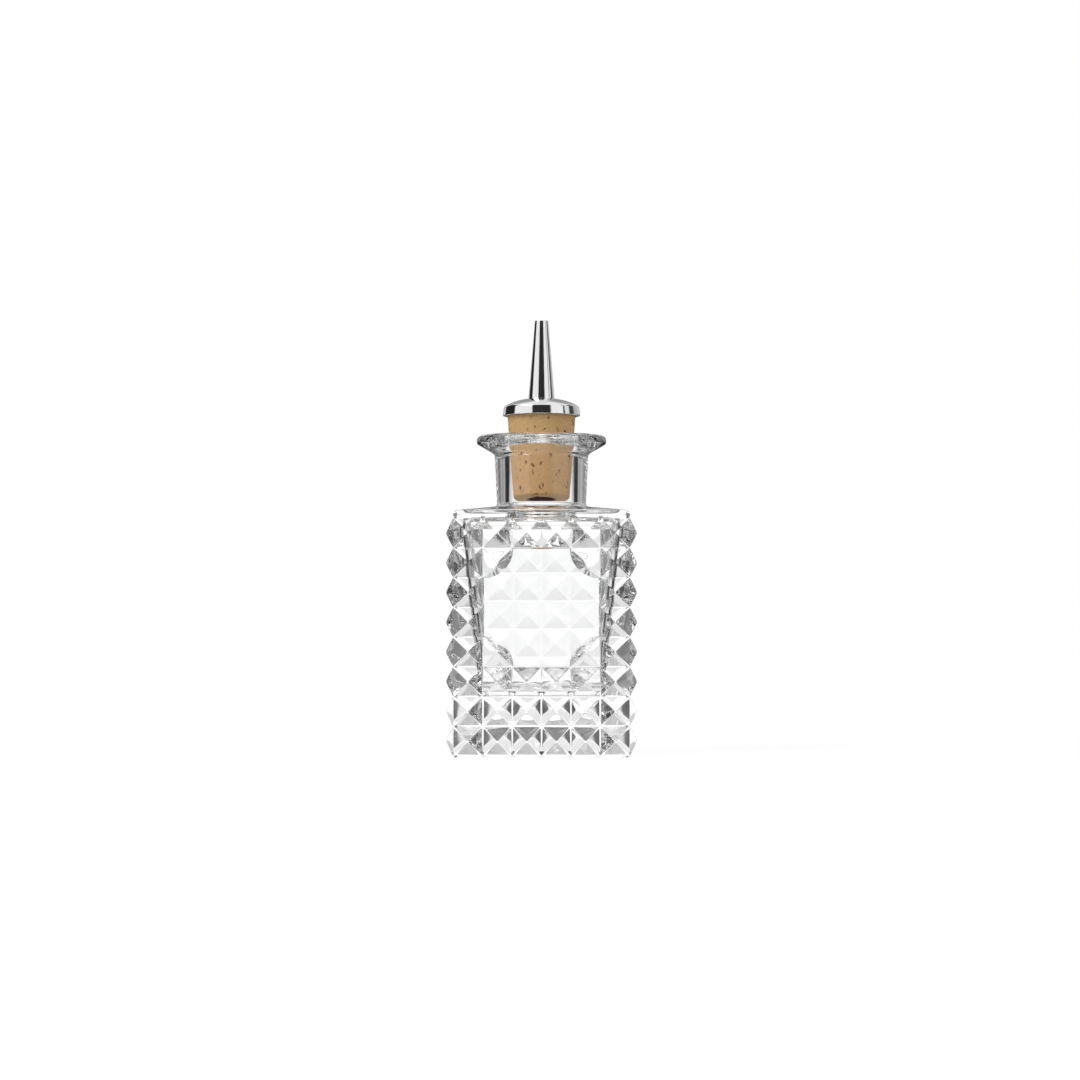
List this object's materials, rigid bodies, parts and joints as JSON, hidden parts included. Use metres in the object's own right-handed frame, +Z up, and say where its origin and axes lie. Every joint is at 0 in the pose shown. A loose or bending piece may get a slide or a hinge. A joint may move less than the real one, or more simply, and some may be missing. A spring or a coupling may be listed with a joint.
{
  "type": "bitters bottle",
  "caption": "Square pressed-glass bitters bottle with pyramid-studded sides, smooth front panel and wide lip, closed by a lift-out tapered cork with a domed cap and slender pour spout.",
  "frame": {"origin": "centre of the base, on the plane the bottle stands on", "axes": "+Z up through the neck and spout, -Y out of the smooth front panel, +X to the right seen from the front"},
  "size_m": [0.0532, 0.0532, 0.1237],
  "materials": {
    "clear_glass": "clear polished pressed glass",
    "cork": "natural cork, fine grained",
    "tube_steel": "drawn tube",
    "polished_cap": "polished",
    "polished_spout": "polished",
    "insert_plastic": "natural moulded plastic"
  },
  "bodies": {
    "bottle": {"glass_bottle": "clear_glass"},
    "stopper": {"cork_stopper": "cork", "stem_tube": "tube_steel", "spout_cap": "polished_cap", "pour_spout": "polished_spout", "dash_insert": "insert_plastic"}
  },
  "joints": [
    {"name": "stopper_lift", "type": "slide", "parent": "bottle", "child": "stopper", "axis": [0, 0, 1], "range_m": [0, 0.04]}
  ]
}
